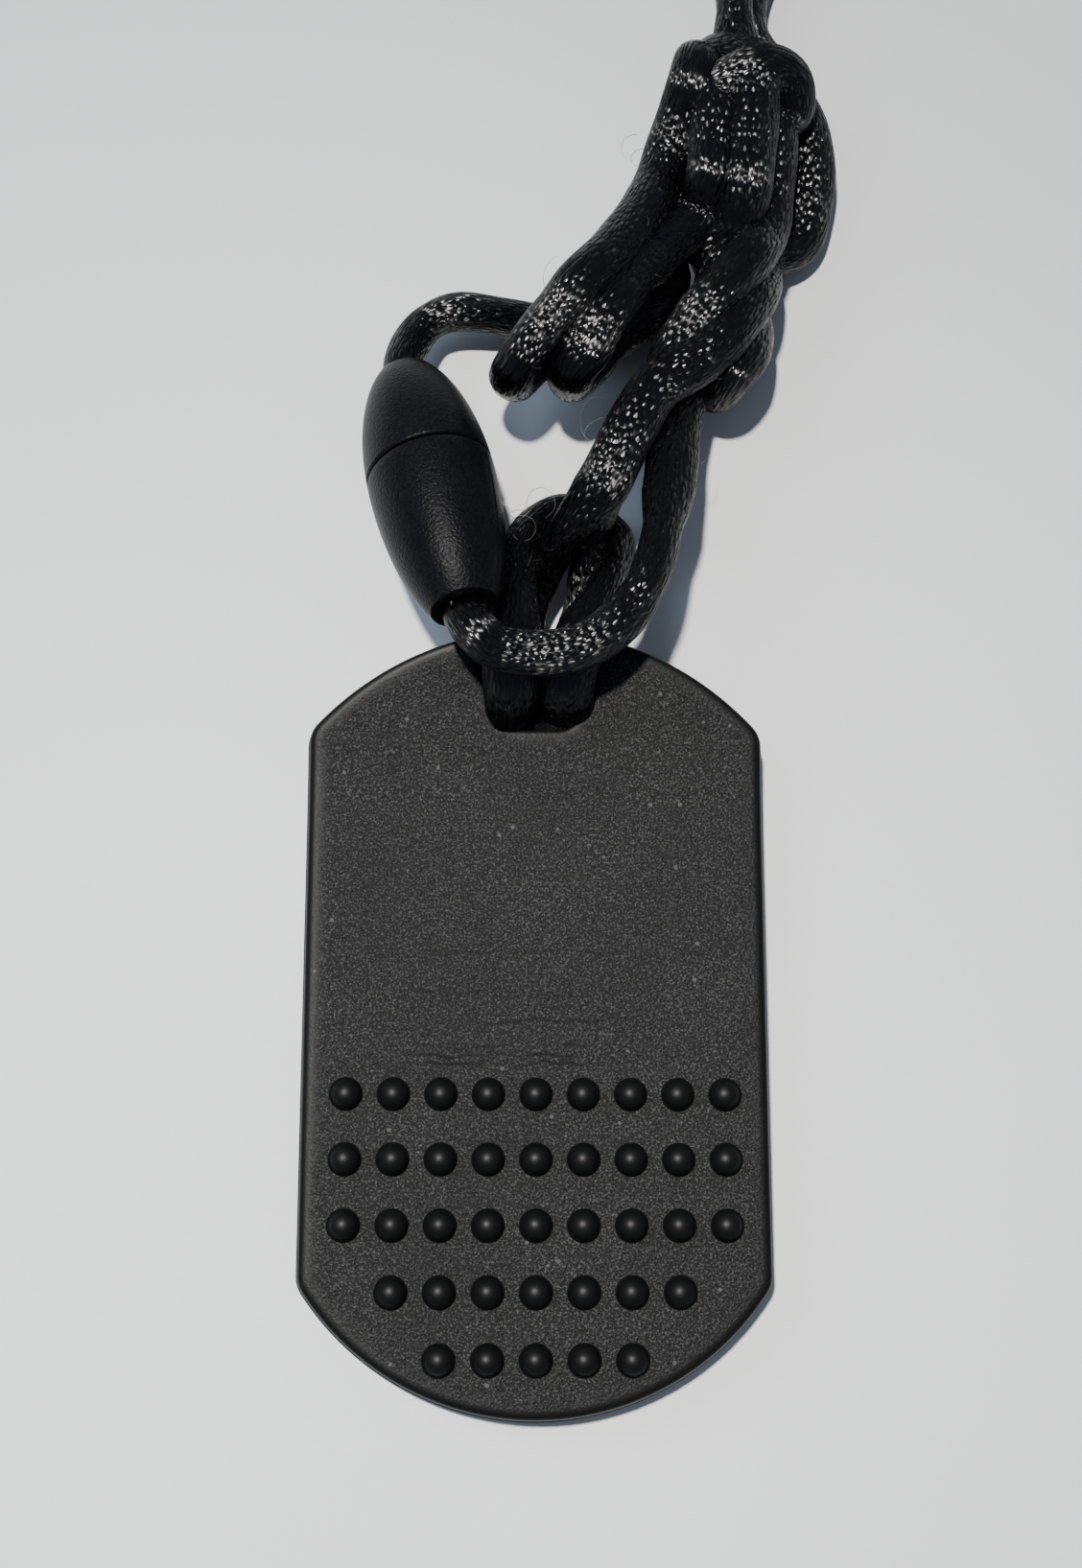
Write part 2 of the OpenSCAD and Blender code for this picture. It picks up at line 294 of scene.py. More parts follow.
def clasp_material():
    """Moulded black plastic with a fine spark-eroded grain."""
    made, shader = material("clasp_plastic", Specular_IOR_Level=0.085)
    tree = made.node_tree
    place = node(tree, "TexCoord").outputs["Object"]
    grain = node(tree, "TexNoise", Vector=place, Scale=4200.0, Detail=2.0, Roughness=0.6)
    cells = node(tree, "TexVoronoi", Vector=place, Scale=4400.0)
    clouds = node(tree, "TexNoise", Vector=place, Scale=240.0, Detail=2.0)
    height = math_node(tree, "ADD", grain.outputs[0], product(tree, cells.outputs["Distance"], 0.5))
    bump(tree, shader, height, 0.00006, 0.8)
    cloud = ramp(tree, clouds.outputs[0], 0.3, 0.7, 0.6, 1.0)
    mottle = product(tree, ramp(tree, grain.outputs[0], 0.3, 0.7), cloud)
    tree.links.new(tint(tree, mottle, (0.0014, 0.0014, 0.0018), (0.0068, 0.0068, 0.008)), shader.inputs[0])
    tree.links.new(ramp(tree, clouds.outputs[0], 0.3, 0.7, 0.36, 0.42), shader.inputs["Roughness"])
    return made


def tie_material():
    """Plain, lightly creased paper."""
    made, shader = material("tie_paper", Specular_IOR_Level=0.2)
    tree = made.node_tree
    place = node(tree, "TexCoord").outputs["Object"]
    pulp = node(tree, "TexNoise", Vector=place, Scale=2600.0, Detail=4.0)
    creases = node(tree, "TexNoise", Vector=place, Scale=260.0, Detail=2.0, Distortion=1.5)
    relief = math_node(tree, "ADD", product(tree, creases.outputs[0], 4.0), pulp.outputs[0])
    bump(tree, shader, relief, 0.00008, 0.8)
    tree.links.new(tint(tree, pulp.outputs[0], (0.36, 0.35, 0.32), (0.62, 0.6, 0.56)), shader.inputs[0])
    tree.links.new(ramp(tree, pulp.outputs[0], 0.3, 0.7, 0.7, 0.9), shader.inputs["Roughness"])
    return made


def floor_material():
    """A matt white table whose colour is painted paler near the object and darker away from it towards the
    corners, a painted pool of light, with a little random tone.
    """
    made, shader = material("floor", Specular_IOR_Level=0.15)
    tree = made.node_tree
    place = node(tree, "TexCoord").outputs["Object"]
    tooth = node(tree, "TexNoise", Vector=place, Scale=1500.0, Detail=3.0)
    drift = node(tree, "TexNoise", Vector=place, Scale=22.0, Detail=2.0)
    tone = math_node(tree, "ADD", product(tree, tooth.outputs[0], 0.25), drift.outputs[0])
    # painted light: the table's colour is paler round this point and darker away from it, standing in for
    # light falling off; the tone varies it a little at random
    painted_light_middle = (-0.02, -0.015, 0.0)
    reach = node(tree, "VectorMath", {"operation": "DISTANCE"}, _0=place, _1=painted_light_middle).outputs["Value"]
    paleness = product(tree, ramp(tree, reach, 0.03, 0.12, 1.0, 0.0), ramp(tree, tone, 0.3, 1.0, 0.85, 1.0))
    tree.links.new(tint(tree, paleness, (0.47, 0.47, 0.47), (0.82, 0.82, 0.815)), shader.inputs[0])
    tree.links.new(ramp(tree, tooth.outputs[0], 0.3, 0.7, 0.75, 0.9), shader.inputs["Roughness"])
    return made


# ---------------------------------------------------------------- mesh helpers


def add_mesh(name, points, faces, made_of):
    """A smooth mesh object with points in millimetres of the row frame."""
    mesh = bpy.data.meshes.new(name)
    mesh.from_pydata((np.asarray(points, float) * MM).tolist(), [], faces)
    mesh.polygons.foreach_set("use_smooth", [True] * len(mesh.polygons))
    mesh.materials.append(made_of)
    mesh.update()
    obj = bpy.data.objects.new(name, mesh)
    scene.collection.objects.link(obj)
    return obj


def point_attribute(obj, name, kind, values):
    """Stores a value or a vector on each point, for the materials to read."""
    made = obj.data.attributes.new(name, kind, "POINT")
    field = "vector" if kind == "FLOAT_VECTOR" else "value"
    made.data.foreach_set(field, np.asarray(values, np.float32).ravel())


def loops_to_faces(rows, columns, closed=True, start=0):
    """Quads between neighbouring rows of a grid of points, each row a ring if closed."""
    across = columns if closed else columns - 1
    return [
        (
            start + r * columns + c,
            start + r * columns + (c + 1) % columns,
            start + (r + 1) * columns + (c + 1) % columns,
            start + (r + 1) * columns + c,
        )
        for r in range(rows - 1)
        for c in range(across)
    ]


def unit(v):
    return v / np.linalg.norm(v)


def spline(a, b, c, d, t):
    """The point at t, from 0 at b to 1 at c, of the smooth curve through four points in a row."""
    return 0.5 * (2 * b + (c - a) * t + (2 * a - 5 * b + 4 * c - d) * t**2 + (3 * b - a - 3 * c + d) * t**3)


# ---------------------------------------------------------------- cord: its route

clasp_middle = np.array(spin["pos_m"]) / MM
clasp_axis = -unit(np.array(spin["axis"]))  # towards the plug half's end
plug_end = clasp_middle + PLUG_REACH * clasp_axis
socket_end = clasp_middle - SOCKET_REACH * clasp_axis

BUNDLE_LOW_Y = 50.5
BUNDLE_LAY = 11.0  # degrees that the bundle's runs turn in a millimetre
BUNDLE_LAID_LENGTH = 15.5  # above this they run straight
BUNDLE_RING = 3.35  # from the core to the six runs round it
LOBE_END = (2.6, 56.6, 4.8)  # where the stretch to the socket half becomes a piece of its own
STRETCH_START = (-0.2, 58.8, 1.8)  # where that stretch starts to give when the clasp opens


def bundle_core(y):
    """The middle of the gathered cord at that y, where the seventh run lies."""
    return np.array([13.4 + 3.9 * math.sin((y - BUNDLE_LOW_Y) / 32 * math.pi / 2), y, 5.2])


def bundle_run(k, y_from, y_to):
    """Points of the k-th of the six runs laid round the bundle's core."""
    count = max(2, round(abs(y_to - y_from) / 2.6) + 1)
    points = []
    for y in np.linspace(y_from, y_to, count):
        angle = math.radians(60 * k - BUNDLE_LAY * min(y - BUNDLE_LOW_Y, BUNDLE_LAID_LENGTH))
        points.append(bundle_core(y) + BUNDLE_RING * np.array([math.cos(angle), 0, math.sin(angle)]))
    return points


def cord_route():
    """The whole cord's points, from the knot in the plug half to the knot in the socket half.

    The folds that join the bundle's runs are hidden in the photograph, so their places are guesses.
    """
    to_plug = [
        (-4.6, 28.2, 11.2), (-3, 27.2, 10.8), (-0.4, 26.9, 10.7), (2.4, 27.1, 10.8), (4.9, 28.3, 10.9),
        (7.4, 30.9, 10.8), (9, 34.3, 10.3), (10, 38.4, 9.3), (10.7, 42.6, 8.2), (11.2, 46.8, 7.2),
        (12.4, 51, 6),
    ]
    tail = [
        (17.2, 85.5, 4.9), (17.2, 89, 4.8), (16.6, 93, 4.9), (15.2, 98, 5.2),
        (14.4, 104, 5), (16, 117, 5), (17.6, 130, 5.2), (16, 143, 5), (14.4, 156, 5),
        (15.8, 161.4, 5), (19.2, 163.4, 5), (22.6, 161.4, 5),
        (24, 156, 5), (22.4, 143, 5), (20.8, 130, 5.2), (22.4, 117, 5), (24, 104, 4.8),
        (22.6, 98.8, 4.2), (19.2, 96.8, 3.2), (15.8, 98.8, 2.2),
        (14.4, 104, 1.8), (16, 117, 1.8), (17.6, 130, 2), (16, 143, 1.8), (14.4, 156, 1.8),
        (15.8, 161.4, 1.8), (19.2, 163.4, 1.8), (22.6, 161.4, 1.8),
        (24, 156, 1.8), (22.4, 143, 1.8), (20.8, 130, 2), (22.4, 117, 1.8), (23.4, 105, 1.7),
        (22.2, 98, 1.6), (20, 93, 1.6),
    ]
    side_loop = [
        (18.9, 89, 1.7), (19.2, 85.6, 2), (21, 82.2, 2.2), (22.9, 78.8, 2.4),
        (23.9, 75, 2.6), (23.8, 70.5, 2.4), (22.4, 66.3, 2),
    ]
    hitch = [
        (9.9, 50.4, 8.7), (8.3, 48, 8.8), (6.6, 44.6, 8.8), (5, 41.4, 8.4),
        (2.4, 38.4, 6.4), (0.3, 35.4, 3.4), (-0.9, 32.2, 1.8), (-1.2, 29, 1.6), (-1.4, 26.2, 1.9),
        (-1.8, 24, 4.4), (-2.1, 25.8, 7.2), (-2, 28.6, 7.7), (-1.7, 31.6, 6.8), (-1.5, 34.6, 5.4),
        (-1.3, 37.6, 3.8), (-0.2, 40.2, 2.4), (2.2, 41.8, 1.8), (4.8, 41.2, 1.8), (6.6, 38.9, 3),
        (6.3, 35.8, 4.6), (5, 32.6, 6.4), (3.5, 29.2, 7.7), (2.5, 26.2, 7.2), (2.3, 24.1, 4.4),
        (2.5, 26.2, 1.9), (3, 29, 1.6), (3.7, 32.4, 1.8), (4.2, 35.8, 2.4), (4.6, 39, 3.8),
        (5.3, 41.6, 5.3), (6.6, 44.6, 5.6), (8.2, 48, 5.5),
    ]
    right_fold = [(21.6, 77, 5.8), (21.3, 79, 7.6), (19, 79.4, 8.6)]
    right_lobe = [
        (13.7, 67.2, 5.9), (11.3, 64.4, 6.5), (8.1, 60, 8.8), (6.6, 57.5, 9.8), (5.2, 55.4, 10),
        (4, 53.3, 9.5), (2.9, 51.8, 8.7), (2.6, 51.3, 7.2), (2.9, 51.8, 5.7), (4.1, 53.4, 5),
        (6, 56, 4.9), (8.2, 57.8, 4.9), (10.4, 58.4, 4.4),
    ]
    low_bend = [(14.6, 52.6, 2.4), (15.2, 51.4, 4.6), (16, 52.2, 6.8)]
    top_fold = [(15.6, 81.6, 3), (15.2, 82.4, 5.4)]
    inner_fold = [(17.3, 67.2, 7.4), (16.2, 65.5, 6), (14.3, 64.9, 4.8), (12.9, 66.1, 4.4)]
    left_fold = [(14, 79.7, 4.7), (14, 80.8, 5.5), (13.8, 81, 6.6), (13.5, 80.2, 7.8)]
    left_edge = [(12.9, 77.8, 8), (12.1, 75.6, 6.6), (11.1, 72.6, 5.7), (10.2, 69.8, 6)]
    left_lobe = [
        (8.9, 66.6, 7.4), (6.3, 62, 9.4), (4.4, 59.5, 10.4), (2.6, 57.4, 10.6), (1.1, 55.6, 10.2),
        (-0.5, 53.6, 9.6), (-1.8, 51.8, 8.7), (-2.2, 51.3, 7.2), (-1.8, 51.8, 5.7), (-0.6, 53.4, 5),
        LOBE_END, (5.4, 59.6, 5), (7.4, 61.8, 5), (9.4, 63.4, 4.2), (11.2, 63, 3),
    ]
    to_socket = [
        (10.5, 61.2, 2.2), (8.4, 60.1, 1.8), (6.2, 59.2, 1.7), (3, 58.6, 1.7), STRETCH_START,
        (-3.8, 59, 2.8), (-6.8, 59.1, 3.1), (-9.2, 58, 3), (-10.6, 55.8, 3.3),
    ]
    core = [bundle_core(y) for y in np.linspace(54, 82, 6)]
    return [
        plug_end - 3 * clasp_axis, plug_end, plug_end + clasp_axis, *to_plug, *core, *tail, *side_loop,
        *bundle_run(2, 64.5, 53), *hitch, *bundle_run(3, 51.5, 76), *right_fold, *bundle_run(5, 77.5, 69.5),
        *right_lobe, *bundle_run(5, 56.5, 54.5), *low_bend, *bundle_run(1, 54.5, 79), *top_fold,
        *bundle_run(4, 80, 69.5), *inner_fold, *bundle_run(0, 68.5, 78), *left_fold, *left_edge,
        *left_lobe, *to_socket, socket_end - clasp_axis, socket_end, socket_end + 3 * clasp_axis,
    ]


def smooth_line(route):
    """One smooth curve through the route's points, resampled at the cord's steps."""
    p = np.array(route, float)
    p = np.vstack([2 * p[0] - p[1], p, 2 * p[-1] - p[-2]])
    fine = []
    for a, b, c, d in zip(p[:-3], p[1:-2], p[2:-1], p[3:]):
        fine += [spline(a, b, c, d, t) for t in np.arange(0, 1, 1 / 24)]
    fine = np.array([*fine, p[-2]])
    # relax the sampled curve a little, so that it bends as a cord does and not at the points
    for _ in range(30):
        fine[1:-1] += 0.25 * (fine[:-2] + fine[2:] - 2 * fine[1:-1])
    lengths = np.concatenate([[0], np.cumsum(np.linalg.norm(np.diff(fine, axis=0), axis=1))])
    at = [0.0]
    while at[-1] < lengths[-1]:
        y = np.interp(at[-1], lengths, fine[:, 1])
        at.append(at[-1] + (TAIL_STEP if y > TAIL_START_Y else CORD_STEP))
    at = np.array(at) * lengths[-1] / at[-1]
    return np.column_stack([np.interp(at, lengths, fine[:, k]) for k in range(3)]), at


def carried_sides(line):
    """Directions along the line, and a side vector carried along it without twist."""
    along = np.gradient(line, axis=0)
    along /= np.linalg.norm(along, axis=1)[:, None]
    side = np.zeros_like(line)
    side[0] = unit(np.cross(along[0], (0.1, 0.2, 1)))
    for i in range(1, len(line)):
        side[i] = unit(side[i - 1] - side[i - 1].dot(along[i]) * along[i])
    return along, side


RIM_BOX = ((-8, 25.5, -1), (8, 32, 3))  # where the cord's line runs under the tag's rim
RIM_GAP = 0.05
FLAT_GAP = 0.03  # under a ring that the rim presses flat


def rim_underside(y):
    """Height of the tag's curled back face."""
    return CURL_RADIUS - math.sqrt(CURL_RADIUS**2 - max(0.0, y - CURL_START) ** 2)


FLATTENED = (  # where the strands press each other flat: a box's corners, and how much wider they get
    ((3, 54, 0), (26, 84, 14), 1.3),
    ((-6, 50, 4), (9, 68, 14), 1.16),
    ((4, 41, 7.6), (13, 54, 14), 1.35),
    ((-5, 22, 0), (7, 30, 9), 1.38),
)


def widening(centre):
    """How much wider than round the cord is at a point of its line."""
    most = 1.0
    for low, high, wide in FLATTENED:
        outside = np.maximum(0, np.maximum(np.array(low) - centre, centre - np.array(high)))
        most = max(most, 1 + (wide - 1) * max(0.0, 1 - float(np.linalg.norm(outside)) / 3))
    return most


def pressed(points, centre, along):
    """Flattens a ring of the cord where it is pressed by other strands, by the table or by the tag's rim."""
    wide = widening(centre)
    level = unit(np.cross((0, 0, 1), along) + 1e-6)
    offset = points - centre
    across = offset @ level
    out = points + ((wide - 1) * across)[:, None] * level
    out[:, 2] = centre[2] + (out[:, 2] - centre[2]) / math.sqrt(wide)
    if all(low < c < high for low, c, high in zip(RIM_BOX[0], centre, RIM_BOX[1])):
        room = min(rim_underside(centre[1]) - RIM_GAP, centre[2] + CORD_RADIUS) - FLAT_GAP
        out[:, 2] = FLAT_GAP + (points[:, 2] - (centre[2] - CORD_RADIUS)) * min(1.0, room / (2 * CORD_RADIUS))
    out[:, 2] = np.maximum(out[:, 2], TABLE_GAP)
    return out


def cord_piece(name, line, at, made_of, first_side):
    """The cord along part of its line, as a closed tube with the coordinates that its pattern needs."""
    along, side = carried_sides(line)
    side[:] = first_side
    other = np.cross(along, side)
    angles = np.linspace(0, 2 * math.pi, CORD_SIDES, endpoint=False)
    cos, sin = np.cos(angles)[:, None], np.sin(angles)[:, None]
    rng = random.Random(7)
    phases = [rng.uniform(0, 6.28) for _ in range(4)]
    points, space = [], []
    for i, centre in enumerate(line):
        swell = 1 + 0.02 * math.sin(at[i] / 2.3 + phases[0]) + 0.015 * math.sin(at[i] / 0.9 + phases[1])
        flat = 0.03 * math.sin(at[i] / 5.1 + phases[2])
        radius = CORD_RADIUS * (swell + flat * np.cos(2 * angles + at[i] / 4 + phases[3]))
        ring = centre + radius[:, None] * (cos * side[i] + sin * other[i])
        points.append(pressed(ring, centre, along[i]))
        space.append(np.column_stack([CORD_RADIUS * cos, CORD_RADIUS * sin, np.full(CORD_SIDES, at[i])]))
    rows = len(line)
    faces = loops_to_faces(rows, CORD_SIDES)
    last = (rows - 1) * CORD_SIDES
    faces += [tuple(reversed(range(CORD_SIDES))), tuple(range(last, last + CORD_SIDES))]
    obj = add_mesh(name, np.vstack(points), faces, made_of)
    point_attribute(obj, "cord_space", "FLOAT_VECTOR", np.vstack(space))
    around = obj.data.uv_layers.new(name="around")
    uv = np.zeros((len(obj.data.loops), 2), np.float32)
    corner = 0
    for r in range(rows - 1):
        for c in range(CORD_SIDES):
            u0, u1 = c / CORD_SIDES, (c + 1) / CORD_SIDES
            v0, v1 = at[r] / 10, at[r + 1] / 10
            uv[corner : corner + 4] = ((u0, v0), (u1, v0), (u1, v1), (u0, v1))
            corner += 4
    around.data.foreach_set("uv", uv.ravel())
    return obj


def make_cord(made_of):
    """Both pieces of the cord, its whole line, and the index on it where they meet."""
    line, at = smooth_line(cord_route())
    _, side = carried_sides(line)
    split = int(np.argmin(np.linalg.norm(line - np.array(LOBE_END), axis=1)))
    body = cord_piece("cord", line[: split + 1], at[: split + 1], made_of, side[: split + 1])
    stretch = cord_piece("cord_to_socket_half", line[split:], at[split:], made_of, side[split:])
    return body, stretch, line, split


def declare_cord(body, stretch):
    """Hides the CAD pieces that the cord stands for, hangs its main piece on the pendant and bakes the
    stretch's placement into its mesh.
    """
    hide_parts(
        "cord_to_plug", "cord_hitch", "cord_side_loop", "cord_to_tail",
        "hank_bundle", "hank_lobe_left", "hank_lobe_right", "hank_tail",
    )
    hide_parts("cord_to_socket")
    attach(body, "pendant")
    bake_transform(stretch)


make_camera()
cord_fibre = cord_material()
cord, cord_stretch, cord_line, cord_split = make_cord(cord_fibre)
declare_cord(cord, cord_stretch)

# ---------------------------------------------------------------- knots in the clasp


def clasp_frame():
    """The barrel's own axes as rows: its Z runs towards the plug half's end, and its X is level."""
    z = Vector(clasp_axis)
    x = Vector((0, 0, 1)).cross(z).normalized()
    return np.array(Matrix((x, z.cross(x), z)))


clasp_turn = clasp_frame()


def make_knot(name, node_name, body, height):
    """An overhand stopper knot, pulled tight, at that height on the barrel's axis."""
    t = np.linspace(0, 2 * math.pi, 96, endpoint=False)
    line = KNOT_SCALE * np.column_stack(
        [np.sin(t) + 2 * np.sin(2 * t), np.cos(t) - 2 * np.cos(2 * t), -1.6 * np.sin(3 * t)]
    )
    centre = clasp_middle + clasp_axis * height
    line = line @ clasp_turn + centre
    along = np.roll(line, -1, 0) - np.roll(line, 1, 0)
    along /= np.linalg.norm(along, axis=1)[:, None]
    side = np.cross(along, centre - line + 0.01)
    side /= np.linalg.norm(side, axis=1)[:, None]
    other = np.cross(along, side)
    angles = np.linspace(0, 2 * math.pi, 16, endpoint=False)
    rings = [
        line[i] + KNOT_CORD_RADIUS * (np.cos(angles)[:, None] * side[i] + np.sin(angles)[:, None] * other[i])
        for i in range(len(line))
    ]
    count, columns = len(line), len(angles)
    faces = loops_to_faces(count, columns)
    faces += [
        ((count - 1) * columns + c, (count - 1) * columns + (c + 1) % columns, (c + 1) % columns, c)
        for c in range(columns)
    ]
    obj = add_mesh(name, np.vstack(rings), faces, cord_fibre)
    space = [
        np.column_stack([np.cos(angles), np.sin(angles), np.full(columns, i * 0.25)]) for i in range(count)
    ]
    point_attribute(obj, "cord_space", "FLOAT_VECTOR", np.vstack(space))
    obj.data.uv_layers.new(name="around")
    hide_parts(node_name)
    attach(obj, body)


make_knot("knot_in_plug", "cord_knot_plug", "pendant", PLUG_REACH - KNOT_DEPTH)
make_knot("knot_in_socket", "cord_knot_socket", "pulled_knot", KNOT_DEPTH - SOCKET_REACH)

# ---------------------------------------------------------------- clasp


def place_in_clasp(points):
    return np.asarray(points) @ clasp_turn + clasp_middle


def turned(profile, start=0.0, sweep=360.0, segments=160):
    """Points and faces of a closed profile of (radius, height) turned about the barrel's axis."""
    whole = sweep >= 360
    rows = segments if whole else segments + 1
    angles = np.radians(start + sweep * np.arange(rows) / segments)
    columns = len(profile)
    points = [(r * math.cos(a), r * math.sin(a), z) for a in angles for r, z in profile]
    faces = loops_to_faces(rows, columns)
    if whole:
        last = (rows - 1) * columns
        faces += [(last + c, last + (c + 1) % columns, (c + 1) % columns, c) for c in range(columns)]
    else:
        faces += [tuple(reversed(range(columns))), tuple((rows - 1) * columns + c for c in range(columns))]
    return points, faces


def joined(parts):
    """Several (points, faces) as one."""
    points, faces = [], []
    for some, more in parts:
        start = len(points)
        points += list(some)
        faces += [tuple(start + i for i in f) for f in more]
    return points, faces


def barrel_curve(length, z_from, z_to, count):
    """The barrel's outside from z_from to z_to, as part of an ellipse."""
    return [(BARREL_RADIUS * math.sqrt(1 - (z / length) ** 2), z) for z in np.linspace(z_from, z_to, count)]


def mould_line(length, z_from, z_to, angle):
    """The thin raised line that a mould's parting leaves along the barrel."""
    rows, half_width, height = 60, 0.07, 0.06
    points = []
    for r, z in barrel_curve(length, z_from, z_to, rows):
        for across, up in ((-1, -0.03), (-0.4, 0.8), (0.4, 0.8), (1, -0.03)):
            turn = math.radians(angle) + across * half_width / r
            points.append(((r + up * height) * math.cos(turn), (r + up * height) * math.sin(turn), z))
    return points, loops_to_faces(rows, 4, closed=False)


def bead_arc(radius, start, end):
    """The snap bead's half circle on a wall of that radius, between two angles."""
    turn = np.linspace(start, end, 9)
    return [(radius + BEAD_HEIGHT * math.sin(t), BEAD_PLACE + 2 * BEAD_HEIGHT * math.cos(t)) for t in turn]


def make_plug_half(made_of):
    """The half with the collar, which is split in four so that its bead can give."""
    curve = barrel_curve(PLUG_LENGTH, 0.0, PLUG_REACH - 0.1, 40)
    end = curve[-1][0]
    shell = [
        (COLLAR_BORE, SEAM - 1), (COLLAR_RADIUS, SEAM - 1), (COLLAR_RADIUS, SEAM - 0.02),
        (4.85, SEAM), (5.0, SEAM + 0.04), (5.12, SEAM + 0.14), (BARREL_RADIUS - 0.01, SEAM + 0.36),
        *curve, (end - 0.03, PLUG_REACH - 0.03), (end - 0.12, PLUG_REACH),
        (CORD_HOLE_RADIUS + 0.22, PLUG_REACH), (CORD_HOLE_RADIUS + 0.06, PLUG_REACH - 0.06),
        (CORD_HOLE_RADIUS, PLUG_REACH - 0.24), (CORD_HOLE_RADIUS, PLUG_REACH - 2.1),
        (COLLAR_BORE, PLUG_REACH - 2.3),
    ]
    petal = [
        (COLLAR_BORE, SEAM - 0.9), (COLLAR_RADIUS, SEAM - 0.9), (COLLAR_RADIUS, -4.9),
        *bead_arc(COLLAR_RADIUS, 0, math.pi), (COLLAR_RADIUS, -5.9),
        (COLLAR_RADIUS - 0.15, -6.6), (COLLAR_BORE + 0.1, -6.6), (COLLAR_BORE, -6.5),
    ]
    parts = [turned(shell)]
    for quarter in range(4):
        parts.append(turned(petal, start=90 * quarter + 8, sweep=74, segments=24))
    parts.append(mould_line(PLUG_LENGTH, 0.0, PLUG_REACH - 0.6, 28))
    points, faces = joined(parts)
    plug = add_mesh("clasp_plug", place_in_clasp(points), faces, made_of)
    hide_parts("clasp_plug_half")
    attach(plug, "pendant")


def make_socket_half(made_of):
    """The half that the collar snaps into, with a groove for its bead."""
    seam = SEAM - SEAM_GAP
    curve = barrel_curve(SOCKET_LENGTH, seam - 0.3, 0.3 - SOCKET_REACH, 36)
    end = curve[-1][0]
    shell = [
        (SOCKET_BORE, seam), (4.95, seam), (5.09, seam - 0.04), (5.18, seam - 0.13), *curve,
        (end - 0.14, 0.1 - SOCKET_REACH), (end - 0.3, -SOCKET_REACH),
        (CORD_HOLE_RADIUS + 0.14, -SOCKET_REACH), (CORD_HOLE_RADIUS, 0.14 - SOCKET_REACH),
        (CORD_HOLE_RADIUS, 2 - SOCKET_REACH),
        (COLLAR_BORE, 2.2 - SOCKET_REACH), (COLLAR_BORE, -7), (SOCKET_BORE, -7),
        *bead_arc(SOCKET_BORE, math.pi, 0),
    ]
    points, faces = turned(shell[::-1])
    socket = add_mesh("clasp_socket", place_in_clasp(points), faces, made_of)
    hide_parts("clasp_socket_half")
    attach(socket, "socket")


clasp_plastic = clasp_material()
make_plug_half(clasp_plastic)
make_socket_half(clasp_plastic)

# ---------------------------------------------------------------- tag


def arc_points(centre, radius, start, end, count):
    """Points on an arc, without its last, so that arcs chain."""
    angles = np.radians(np.linspace(start, end, count, endpoint=False))
    return [(centre[0] + radius * math.cos(a), centre[1] + radius * math.sin(a)) for a in angles]


def tag_outline(inset):
    """The tag's outline, inset from its widest, counterclockwise from the lower right corner."""
    corner_x = TAG_HALF_WIDTH - CORNER_RADIUS
    corners = [
        reach - radius + math.sqrt((radius - CORNER_RADIUS) ** 2 - corner_x**2) for reach, radius in TAG_ENDS
    ]
    points = []
    ends = ((1, TAG_ENDS[0], *corners), (-1, TAG_ENDS[1], *corners[::-1]))
    for way, (reach, radius), corner_y, other_y in ends:
        arc_y = reach - radius
        slope = math.degrees(math.atan2(corner_y - arc_y, corner_x))
        half = [(TAG_HALF_WIDTH - inset, y) for y in np.linspace(-other_y, corner_y, 56, endpoint=False)]
        half += arc_points((corner_x, corner_y), CORNER_RADIUS - inset, 0, slope, 10)
        half += arc_points((0, arc_y), radius - inset, slope, 180 - slope, 72)
        half += arc_points((-corner_x, corner_y), CORNER_RADIUS - inset, 180 - slope, 180, 10)
        points += [(way * x, way * y) for x, y in half]
    return np.array(points)


def eyelet_outline():
    """The eyelet: a rounded trapezoid with its top edge parallel to the tag's end, counterclockwise."""
    reach, radius = TAG_ENDS[0]
    arc_y, radius = reach - radius, radius - EYELET_RIM
    half = [
        (0, 22.4), (1.5, 22.4), (2.3, 22.5), (2.9, 22.9), (3.3, 23.6), (3.7, 24.6), (4.1, 25.9),
        (4.5, 26.8), (4.55, 27.15), (4.3, 27.3),
    ]
    half += [(x, arc_y + math.sqrt(radius**2 - x**2)) for x in (3.6, 2.7, 1.8, 0.9)]
    left = [(-x, y) for x, y in reversed(half)]
    top = arc_y + radius
    coarse = np.array(half + [(0, top)] + left[:-1])
    fine = []
    count = len(coarse)
    for i in range(count):
        a, b, c, d = (coarse[(i + k) % count] for k in (-1, 0, 1, 2))
        fine += [spline(a, b, c, d, t) for t in (0, 0.25, 0.5, 0.75)]
    return np.array(fine)


def grown(outline, by):
    """A counterclockwise outline moved outwards along its normals."""
    along = np.roll(outline, -1, 0) - np.roll(outline, 1, 0)
    along /= np.linalg.norm(along, axis=1)[:, None]
    return outline + by * np.column_stack([along[:, 1], -along[:, 0]])


def inside(points, outline):
    """Which points lie inside a closed outline."""
    x, y = points[:, 0], points[:, 1]
    found = np.zeros(len(points), bool)
    for (ax, ay), (bx, by) in zip(outline, np.roll(outline, -1, 0)):
        crosses = (ay > y) != (by > y)
        if ay != by:
            found ^= crosses & (x < (bx - ax) * (y - ay) / (by - ay) + ax)
    return found


